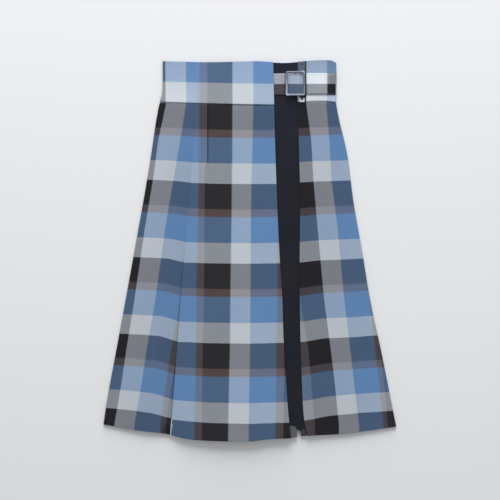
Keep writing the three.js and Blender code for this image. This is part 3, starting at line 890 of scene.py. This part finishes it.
def check_material(name, across_threads):
    """The check: each cell mixes the threads that run down with those that run across.

    The map "tone" holds each place's brightness, with its painted light and shade, and saturation.
    """
    cloth = Shading(name, 0.86, Sheen_Weight=0.05, **CLOTH_SHINE)
    times = cloth.times
    uv, across, down = cloth.uv("weave")
    wander = times(cloth.noise(uv, 26.0), WANDER, -WANDER / 2)
    warp = stripes(cloth, times(wander, 0.5, across), ACROSS, DOWN_THREADS, WARP_SOFT)
    weft = stripes(cloth, times(wander, 1.0, down), DOWN, across_threads, WEFT_SOFT)
    slope = times(across, ACROSS_REPEAT / TWILL_PITCH, times(down, DOWN_REPEAT / TWILL_PITCH))
    twill = cloth.math("SINE", times(slope, 2 * math.pi))
    share = times(twill, TWILL_SHARE, ACROSS_SHARE)
    mixed = cloth.mix(share, cloth.gamma(warp, MIX_POWER), cloth.gamma(weft, MIX_POWER))
    colour = cloth.gamma(mixed, 1 / MIX_POWER)
    unlike = cloth.mix(1.0, cloth.gamma(warp, 0.5), cloth.gamma(weft, 0.5), blend_type="DIFFERENCE")
    grey = cloth.grey(colour)
    greying = times(cloth.between(grey, *PALE_CLOTH), LIGHT_GREYING)
    greying = times(cloth.grey(unlike), MIX_GREYING, greying)
    _, brightness, saturation = cloth.uv("tone")
    place = cloth.place()
    slub = cloth.noise(place, 900.0)
    speckle = times(cloth.noise(place, 14.0, 4.0), PATCHES, times(slub, SLUBS, LEAST))
    cloth.colour(cloth.mix(greying, colour, grey), times(brightness, speckle), saturation)
    threads = times(
        wave(cloth, across, ACROSS_REPEAT, THREAD_PITCH), wave(cloth, down, DOWN_REPEAT, THREAD_PITCH)
    )
    woven = times(twill, 0.5, times(threads, 0.3, times(slub, 0.5)))
    cloth.bump(woven, *WEAVE_BUMP)
    cloth.feed("Roughness", times(slub, 0.14, 0.8))
    return cloth.material


def dark_cloth_material():
    """The plain dark cloth of the pleat underlay: navy black, finely woven, with painted shade lower
    down the pleat.
    """
    cloth = Shading("dark_cloth", 0.85, Sheen_Weight=0.04, **CLOTH_SHINE)
    place = cloth.place()
    patches = cloth.noise(place, 9.0, 3.0)
    colour = cloth.ramp(patches, 0.35, (0.0100, 0.0120, 0.0230), 0.65, (0.0150, 0.0155, 0.0190))
    cloth.colour(colour, cloth.between(cloth.split(place)[1], *UNDERLAY_SHADE_SPAN, 1.0, UNDERLAY_SHADE))
    _, across, down = cloth.uv("weave")
    warp = wave(cloth, across, ACROSS_REPEAT, PLAIN_PITCH)
    weft = wave(cloth, down, DOWN_REPEAT, PLAIN_PITCH)
    cloth.bump(cloth.times(warp, weft), *PLAIN_BUMP)
    return cloth.material


# Painted reflection: brightness of the nickel, and what it adds down the frame, on its left rail and at
# its top right
PAINTED_REFLECTION = {"least": 0.3, "down": 0.14, "left": 0.36, "corner": 0.3}
# Where each of these begins and is full, in millimetres from the frame's middle: (axis, start, end)
REFLECTION_DOWN = (1, 22, -22)
REFLECTION_LEFT = (0, -13, -17)
REFLECTION_CORNER = ((0, 12, 17), (1, 18, 22))


def nickel_material():
    """Satin nickel with fine scuffs; brighter towards the bottom, most on its left rail, and at its top
    right, and tinted bluish: painted reflections.
    """
    metal = Shading("buckle_metal", 0.6, Metallic=1.0)
    place = metal.place()
    scuffs = metal.noise(place, 420.0, 5.0)
    colour = metal.ramp(scuffs, 0.3, (0.50, 0.56, 0.68), 0.75, (0.74, 0.80, 0.90))
    axes = metal.split(place)
    middle = BUCKLE_CENTRE[0] + SHIFT_X, BUCKLE_CENTRE[1] + SHIFT_Y

    def share(axis, start, end):
        return metal.between(axes[axis], (middle[axis] + start) * MM, (middle[axis] + end) * MM)

    # painted reflection: brighter towards the bottom, most on the left rail
    reflected = metal.times(share(*REFLECTION_LEFT), PAINTED_REFLECTION["left"], PAINTED_REFLECTION["down"])
    reflected = metal.times(share(*REFLECTION_DOWN), reflected, PAINTED_REFLECTION["least"])
    # painted highlight at the frame's top right
    corner = metal.times(share(*REFLECTION_CORNER[0]), PAINTED_REFLECTION["corner"])
    metal.colour(colour, metal.times(share(*REFLECTION_CORNER[1]), corner, reflected))
    metal.feed("Roughness", metal.between(scuffs, 0.0, 1.0, 0.56, 0.7))
    metal.bump(scuffs, 0.06, 0.0002)
    return metal.material


def thread_material(name, colour):
    """Sewing thread: twisted, slightly shiny."""
    thread = Shading(name, 0.55, Specular_IOR_Level=0.35)
    dark, light = ([min(part * shade, 1) for part in colour] for shade in THREAD_SHADES)
    fluff = thread.noise(thread.place(), 1500.0)
    thread.feed("Base Color", thread.ramp(fluff, 0, dark, 1, light))
    return thread.material


def floor_material():
    """A smooth pale sheet, darker towards the front: painted shade of the light's falloff."""
    paint = Shading("floor_paint", 0.9, Specular_IOR_Level=0.1)
    place = paint.place()
    back = paint.between(paint.split(place)[1], -FLOOR_FADE, FLOOR_FADE)
    share = paint.times(paint.noise(place, 3.0, 3.0), 0.1, back)
    paint.feed("Base Color", paint.ramp(share, 0, FLOOR_FRONT, 1, FLOOR_BACK))
    return paint.material


CHECK = check_material("check_cloth", ACROSS_THREADS)
CHECK_SIDE = check_material("check_cloth_side", {**ACROSS_THREADS, "rust": RUST_AT_THE_SIDES})
DARK = dark_cloth_material()
NICKEL = nickel_material()
THREAD = thread_material("thread_grey", (0.14, 0.155, 0.19))
THREAD_LIGHT = thread_material("thread_light", (0.60, 0.65, 0.70))
THREAD_DARK = thread_material("thread_dark", (0.03, 0.03, 0.035))


# ---- the pieces
def settle(piece, material, slot, *nodes):
    """Gives a piece its material, and puts it on the body in place of its solids; slot is not used."""
    piece.data.materials.clear()
    piece.data.materials.append(material)
    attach(piece, BODY)
    if nodes:
        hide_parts(*nodes)
    return piece


def cut_of(left, right, top, bottom, lap):
    """Width, length and area in metres of the flat cut between four lines, laps included."""
    low = float(bottom(np.array(0.0)))
    high = float(top(np.array(0.0)))
    heights = np.linspace(low, high, 200)
    widths = right(heights) - left(heights) + lap
    step = (high - low) / (len(heights) - 1)
    area = float((widths[1:] + widths[:-1]).sum() / 2 * step)
    return float(widths.max()) * MM, (high - low) * MM, area * MM * MM


def strap_lift(x):
    """How far the waistband and gore rise where they cover the end of the strap."""
    return (BAND_TOP_OVER_STRAP - BAND_TOP) * smooth(x, *STRAP_RAMP)


def side_face(side, side_height, height, lift=None):
    """A face that sinks to the turned edge on the left side (-1) or the right one (1)."""
    edge = right_side if side > 0 else left_side

    def face(x, y, across):
        distance = side * (edge(y) - x) - side_height / 2
        z = side_height + (height - side_height) * smooth(distance, 0, SIDE_SLOPE_WIDTH)
        return z + (lift(y, across) if lift else 0)

    return face


side_gore_face = side_face(-1, GORE_SIDE_HEIGHT, GORE_TOP, side_flute)
right_gore_face = side_face(1, GORE_SIDE_HEIGHT, GORE_TOP, right_flute)
side_band_face = side_face(-1, BAND_SIDE_HEIGHT, BAND_TOP)
right_band_face = side_face(1, BAND_SIDE_HEIGHT, BAND_TOP)

DART = {"x": -84.6, "end": 172, "full": 197, "width": 1.0, "depth": 1.5}
# The cloth rises beside the dart: its height, how far it reaches, and where it is full
PUFF = {"rise": 0.35, "reach": 14, "full": 230}


def centre_gore_face(x, y, across):
    near_waist = smooth(y, waist_seam(x) - WAIST_RAMP, waist_seam(x))
    aside = x - DART["x"]
    dart = np.exp(-((aside / DART["width"]) ** 2)) * smooth(y, DART["end"], DART["full"])
    puff = smooth(aside, -PUFF["reach"], 0) * (aside < 0) * smooth(y, DART["end"], PUFF["full"])
    height = GORE_TOP + strap_lift(x) * near_waist + centre_flute(y, across)
    return height - DART["depth"] * dart + PUFF["rise"] * puff


def centre_band_face(x, y, across):
    return BAND_TOP + strap_lift(x)


def pleat_face(top):
    """The face of a layer of the pleat: its layers lift together towards the hem."""
    def face(x, y, across):
        left = wrap_edge(y) - UNDERLAY_LAP
        right = right_gore_edge(y) + UNDERLAY_LAP
        return top + underlay_flute(y, np.clip((x - left) / (right - left), 0, 1))

    return face


def flat_face(height):
    return lambda x, y, across: np.full_like(x, height)


BACK_COLUMN_START = 20  # the place across the repeat at the middle of the back
BACK_DROP = 12  # how far its rows drop at its sides, from the first of these y down to the second
BACK_DROPS = (300, -350)
BACK_HALF_WIDTH = 290


def back_weave(x, y):
    """The back's check runs straight down its middle, and its rows drop towards its sides."""
    drop = BACK_DROP * (x / BACK_HALF_WIDTH) ** 2 * falling(y, *BACK_DROPS)
    return (x + BACK_COLUMN_START) / ACROSS_REPEAT, (ROW_START - y + drop) / DOWN_REPEAT


# What a gore's or band's flat cut has beyond its outline: the turned side, down to its seam
SIDE_LAP = SIDE_SEAM_INWARD + math.pi * GORE_SIDE_HEIGHT / 2 - GORE_SIDE_HEIGHT
BACK_INWARD = SIDE_SEAM_INWARD + SEAM_GAP / 2
ON_PANEL = ["back_panel_cloth"]
ON_BAND = ["back_waistband_cloth"]


def add_cloth(node, lines, size, thickness, face, weave, rests_on, material=CHECK, **options):
    """A piece of cloth in place of its solid, with its material; the cut of its sheet is worked out but
    not used.
    """
    piece = cloth_piece(node, lines, size, thickness, face, weave, **options)
    settle(piece, material, "dark_cloth" if material is DARK else "check_cloth", node)
    width, length, area = cut_of(*lines, SIDE_LAP if options.get("turn") else 0)


def make_back():
    sides = shifted(left_side, BACK_INWARD), shifted(right_side, -BACK_INWARD)
    add_cloth(
        "back_panel", (*sides, waist_seam, back_hem), (48, 60), GORE_CLOTH,
        flat_face(GORE_CLOTH), back_weave, ON_BAND, free_hem=True, width=400,
    )
    add_cloth(
        "back_waistband", (*sides, top_line, waist_seam), (40, 10), BAND_CLOTH,
        flat_face(BAND_CLOTH), back_weave, ON_PANEL, width=330, length=85,
    )


def make_gores():
    shared = {"free_hem": True, "uneven": 0.14}
    ends = waist_seam, front_hem
    add_cloth(
        "front_side_gore", (left_side, princess_seam, *ends), (60, 130), GORE_CLOTH,
        side_gore_face, weave_of(SIDE_COLUMNS, SIDE_ROWS), ON_PANEL, CHECK_SIDE,
        turn=-1, side_height=GORE_SIDE_HEIGHT, seams="rt", folds="b", width=110, **shared,
    )
    add_cloth(
        "front_centre_gore", (princess_seam, wrap_edge, *ends), (90, 140), GORE_CLOTH,
        centre_gore_face, centre_weave, ON_PANEL,
        seams="lt", folds="rb", width=190, fine=(0.12, 0.23, 44), **shared,
    )
    add_cloth(
        "front_right_gore", (right_gore_edge, right_side, *ends), (64, 130), GORE_CLOTH,
        right_gore_face, weave_of(RIGHT_COLUMNS, RIGHT_ROWS), ON_PANEL, CHECK_SIDE,
        turn=1, side_height=GORE_SIDE_HEIGHT, seams="t", folds="lb", width=130, **shared,
    )


def make_waistbands():
    shared = {"uneven": 0.05, "length": 85}
    ends = top_line, waist_seam
    weave = weave_of(BAND_COLUMNS, BAND_ROWS)
    add_cloth(
        "front_side_waistband", (left_side, princess_seam, *ends), (34, 36), BAND_CLOTH,
        side_band_face, weave, ON_BAND,
        turn=-1, side_height=BAND_SIDE_HEIGHT, seams="rb", width=70, **shared,
    )
    add_cloth(
        "front_centre_waistband", (princess_seam, wrap_edge, *ends), (60, 36), BAND_CLOTH,
        centre_band_face, weave, ON_BAND, seams="lb", width=155, **shared,
    )
    add_cloth(
        "front_right_waistband", (right_gore_edge, right_side, *ends), (36, 36), BAND_CLOTH,
        right_band_face, weave_of(RIGHT_BAND_COLUMNS, RIGHT_BAND_ROWS), ON_BAND,
        turn=1, side_height=BAND_SIDE_HEIGHT, seams="b", width=75, **shared,
    )


def make_return(node, edge, side, place, rows):
    """A gore's turned-in return: side is 1 where it reaches to the right into the opening."""
    def inner(y):
        share = smooth(y, FLUTE_END, FLUTE_START)
        return edge(y) + side * (RETURN_OUT + (RETURN_OUT_AT_WAIST - RETURN_OUT) * share)

    outer = shifted(edge, -side * RETURN_UNDER)
    lines = (outer, inner) if side > 0 else (inner, outer)
    add_cloth(
        node, (*lines, waist_seam, front_hem), (8, 60), PLAIN_CLOTH, pleat_face(RETURN_TOP),
        weave_of(constant_place(place), rows), ON_PANEL, free_hem=True, width=22,
    )


def make_pleat():
    sides = shifted(wrap_edge, -UNDERLAY_LAP), shifted(right_gore_edge, UNDERLAY_LAP)
    add_cloth(
        "pleat_underlay", (*sides, top_line, underlay_hem), (60, 130), PLAIN_CLOTH,
        pleat_face(UNDERLAY_TOP), back_weave, ON_PANEL, DARK, free_hem=True, uneven=0.04, width=70,
    )
    light, brown = middle_of(ACROSS, "light"), middle_of(ACROSS, "brown")
    make_return("pleat_return_centre", wrap_edge, 1, light, CENTRE_ROWS)
    make_return("pleat_return_right", right_gore_edge, -1, brown, RIGHT_ROWS)


def on_face(face, x, y):
    """Points of a face, for stitches: x and y are arrays, or one of them is a value."""
    x, y = np.broadcast_arrays(np.asarray(x, float), np.asarray(y, float))
    return np.stack([x, y, face(x, y, None)], 1)


STRAP_CROWN = 0.25  # how far the strap's face falls towards its long edges, and over what width
CROWN_WIDTH = 3
STRAP_STITCHES = {"inset": 2.2, "from_left": 30, "from_right": 3, "pitch": 3.4, "length": 2.5}


def make_strap():
    left, right, lower, upper = STRAP_BOX

    def face(x, y, across):
        on_band = right_band_face(x, y, across) + LAYER_GAP
        low = UNDERLAY_TOP + LAYER_GAP
        crown = smooth(upper - y, 0, CROWN_WIDTH) * smooth(y - lower, 0, CROWN_WIDTH)
        height = low + (on_band - low) * smooth(x, *STRAP_RISE) + STRAP_CLOTH
        return height + STRAP_CROWN * (crown - 1)

    add_cloth(
        "strap", straight_lines(left, right, upper, lower), (70, 22), STRAP_CLOTH,
        face, strap_weave, ["front_right_waistband_cloth"],
        width=147, length=42, round_edge=0.9,
    )
    sewn = STRAP_STITCHES
    places = np.arange(left + sewn["from_left"], right - sewn["from_right"], sewn["pitch"])
    run = (sewn["length"], 0, 0)
    for name, y, material in (
        ("strap_stitches_upper", upper - sewn["inset"], THREAD_LIGHT),
        ("strap_stitches_lower", lower + sewn["inset"], THREAD),
    ):
        stitch_rows(name, [(on_face(face, places, y), run)], material)


LOOP_CLEAR = 1  # from the end of the loop's climb to the edge of the strap
LOOP_STITCHES = {"inset": 1.6, "pitch": 3.2, "length": 2.4}
LOOP_STITCHED = ((299.5, 306), (362, 374))  # between these y, on the loop's sewn ends
BARTACKS = ((304.3, 4.6), (373.6, 2.8))  # each one's y and length
BARTACK_SIDES = (3.6, 6.2)  # how far they stay from the loop's left and right side
BARTACK_STITCHES = 6
BARTACK_SLANT = 0.2
BARTACK_RADIUS = 0.42


def make_loop():
    left, right, lower, upper = LOOP_BOX
    strap_lower, strap_upper = STRAP_BOX[2] - LOOP_CLEAR, STRAP_BOX[3] + LOOP_CLEAR

    def face(x, y, across):
        low = BAND_TOP + LAYER_GAP + LOOP_CLOTH
        high = low + STRAP_CLOTH + LAYER_GAP
        below = smooth(y, strap_lower - LOOP_RAMP, strap_lower)
        above = 1 - smooth(y, strap_upper, strap_upper + LOOP_RAMP)
        return low + (high - low) * below * above

    add_cloth(
        "belt_loop", straight_lines(left, right, upper, lower), (10, 70), LOOP_CLOTH,
        face, loop_weave, ["strap_cloth", "front_right_waistband_cloth"],
        width=13, length=80, round_edge=0.9,
    )
    sewn = LOOP_STITCHES
    places = np.concatenate([np.arange(*stretch, sewn["pitch"]) for stretch in LOOP_STITCHED])
    edges = [
        (on_face(face, x, places), (0, sewn["length"], 0))
        for x in (left + sewn["inset"], right - sewn["inset"])
    ]
    stitch_rows("belt_loop_stitches", edges, THREAD)
    places = np.linspace(left + BARTACK_SIDES[0], right - BARTACK_SIDES[1], BARTACK_STITCHES)
    bars = [(on_face(face, places, y), (BARTACK_SLANT, length, 0)) for y, length in BARTACKS]
    stitch_rows("belt_loop_bartacks", bars, THREAD_DARK, BARTACK_RADIUS)


STITCH_SIDES = 6
# A stitch is a bent thread: rings along it, in halves of its length, and their rise, in radii
STITCH_BEND = [(-1.0, -0.5), (-0.6, 0.5), (0, 0.85), (0.6, 0.5), (1.0, -0.5)]


def stitch_rows(name, rows, material, radius=0.26):
    """Rows of single stitches, joined into one mesh: each row is its places and a stitch's run."""
    bm = bmesh.new()
    for path, run in rows:
        run = Vector(run)
        length = run.length
        run = run / length
        aside = Vector((-run.y, run.x, 0))
        for x, y, z in path:
            centre = Vector((x + SHIFT_X, y + SHIFT_Y, z))
            rings = []
            for along, rise in STITCH_BEND:
                middle = centre + run * (along * length / 2) + Vector((0, 0, rise * radius))
                ring = []
                for k in range(STITCH_SIDES):
                    angle = 2 * math.pi * k / STITCH_SIDES
                    off = aside * (radius * math.cos(angle))
                    off += Vector((0, 0, radius * math.sin(angle)))
                    ring.append(bm.verts.new((middle + off) * MM))
                rings.append(ring)
            join_rings(bm, rings)
            bm.faces.new(rings[0][::-1])
            bm.faces.new(rings[-1])
    bmesh.ops.recalc_face_normals(bm, faces=bm.faces)
    return settle(bmesh_object(name, bm), material, "check_cloth")


def join_rings(bm, rings):
    """Faces between each ring of points and the one after it."""
    for ring, following in zip(rings, rings[1:]):
        for k in range(len(ring)):
            n = (k + 1) % len(ring)
            bm.faces.new((ring[k], ring[n], following[n], following[k]))


# ---- the buckle
def rounded_path(width, length, corner, corner_steps=9, side_steps=6):
    """Points round a rectangle with rounded corners, and the outward direction at each."""
    points = []
    half_x, half_y = width / 2 - corner, length / 2 - corner
    centres = ((half_x, -half_y), (half_x, half_y), (-half_x, half_y), (-half_x, -half_y))
    for quarter, (cx, cy) in enumerate(centres):
        for k in range(corner_steps + 1):
            angle = math.pi / 2 * (quarter - 1 + k / corner_steps)
            points.append((cx + corner * math.cos(angle), cy + corner * math.sin(angle), angle))
        following = centres[(quarter + 1) % 4]
        angle = math.pi / 2 * quarter
        for k in range(1, side_steps):
            share = k / side_steps
            x = cx + (following[0] - cx) * share + corner * math.cos(angle)
            y = cy + (following[1] - cy) * share + corner * math.sin(angle)
            points.append((x, y, angle))
    return points


def make_buckle():
    """A cast frame of soft square section, tilted on to the belt loop, with its hidden bar."""
    rail, height = BUCKLE_RAIL, BUCKLE_HEIGHT
    base = BAND_TOP + STRAP_CLOTH + LOOP_CLOTH + 3 * LAYER_GAP - BUCKLE_CLEAR
    tilt = Matrix.Rotation(-BUCKLE_TILT, 4, "Y")
    place = Vector((BUCKLE_CENTRE[0] + SHIFT_X, BUCKLE_CENTRE[1] + SHIFT_Y, base))
    bm = bmesh.new()
    rings = []
    corner = BUCKLE_CORNER - rail / 2 + CORNER_ROUNDER
    for x, y, angle in rounded_path(BUCKLE_SIZE[0] - rail, BUCKLE_SIZE[1] - rail, corner):
        ring = []
        for k in range(SECTION_SIDES):
            turn = 2 * math.pi * k / SECTION_SIDES
            c, d = math.cos(turn), math.sin(turn)
            out = rail / 2 * math.copysign(abs(c) ** SECTION_POWER, c)
            up = height / 2 * (1 + math.copysign(abs(d) ** SECTION_POWER, d))
            local = Vector((x + out * math.cos(angle), y + out * math.sin(angle), up))
            ring.append(bm.verts.new((tilt @ local + place) * MM))
        rings.append(ring)
    join_rings(bm, rings + rings[:1])
    bmesh.ops.recalc_face_normals(bm, faces=bm.faces)
    bar_base = UNDERLAY_TOP + LAYER_GAP
    outer = BUCKLE_SIZE[1] / 2 - BAR_END
    inner = outer - BAR_LEG
    for top, start, end in (
        (bar_base + BAR_HEIGHT, -outer, outer),
        (base + height / 2, -outer, -inner),
        (base + height / 2, inner, outer),
    ):
        middle = Vector((place.x, place.y + (start + end) / 2, (bar_base + top) / 2))
        size = Matrix.Diagonal((BAR_WIDTH, end - start, top - bar_base, 1))
        made = bmesh.ops.create_cube(bm, size=1, matrix=Matrix.Translation(middle) @ size)
        edges = list({e for v in made["verts"] for e in v.link_edges})
        bmesh.ops.scale(bm, vec=(MM, MM, MM), verts=made["verts"])
        bmesh.ops.bevel(bm, geom=edges, offset=BAR_BEVEL * MM, segments=2, affect="EDGES")
    settle(bmesh_object("buckle_frame", bm), NICKEL, "buckle_metal", "buckle")


# ---- surroundings
def make_floor():
    mesh = bpy.data.meshes.new("floor")
    half = FLOOR_SIZE / 2
    corners = [(-half, -half), (half, -half), (half, half), (-half, half)]
    mesh.from_pydata([(x, y, FLOOR_Z) for x, y in corners], [], [(0, 1, 2, 3)])
    mesh.materials.append(floor_material())
    new_object("floor", mesh)


def make_lights():
    world = bpy.data.worlds.new("studio")
    world.use_nodes = True
    background = world.node_tree.nodes["Background"]
    background.inputs["Color"].default_value = (*WORLD_COLOUR, 1)
    background.inputs["Strength"].default_value = WORLD_STRENGTH
    bpy.context.scene.world = world
    data = bpy.data.lights.new("key", "AREA")
    data.shape = "RECTANGLE"
    data.size, data.size_y = KEY_SIZE
    data.energy = KEY_WATTS
    light = new_object("key", data)
    light.location = KEY_PLACE
    direction = Vector(KEY_TARGET) - Vector(KEY_PLACE)
    light.rotation_euler = direction.to_track_quat("-Z", "Y").to_euler()


def make_camera():
    data = bpy.data.cameras.new("camera")
    data.sensor_width = 36
    width_seen = PHOTO_SIZE * PIXEL
    data.lens = data.sensor_width * (CAMERA_HEIGHT - CLOTH_HEIGHT) / width_seen
    camera = new_object("camera", data)
    half = PHOTO_SIZE / 2
    camera.location = (
        ((half - WAIST_MIDDLE_PIXEL[0]) * PIXEL + SHIFT_X) * MM,
        ((WAIST_MIDDLE_PIXEL[1] - half) * PIXEL + SHIFT_Y) * MM,
        CAMERA_HEIGHT * MM,
    )
    data.clip_end = 20
    bpy.context.scene.camera = camera


make_back()
make_gores()
make_waistbands()
make_pleat()
make_strap()
make_loop()
make_buckle()
make_floor()
make_lights()
make_camera()
bpy.context.scene.view_settings.view_transform = "Standard"
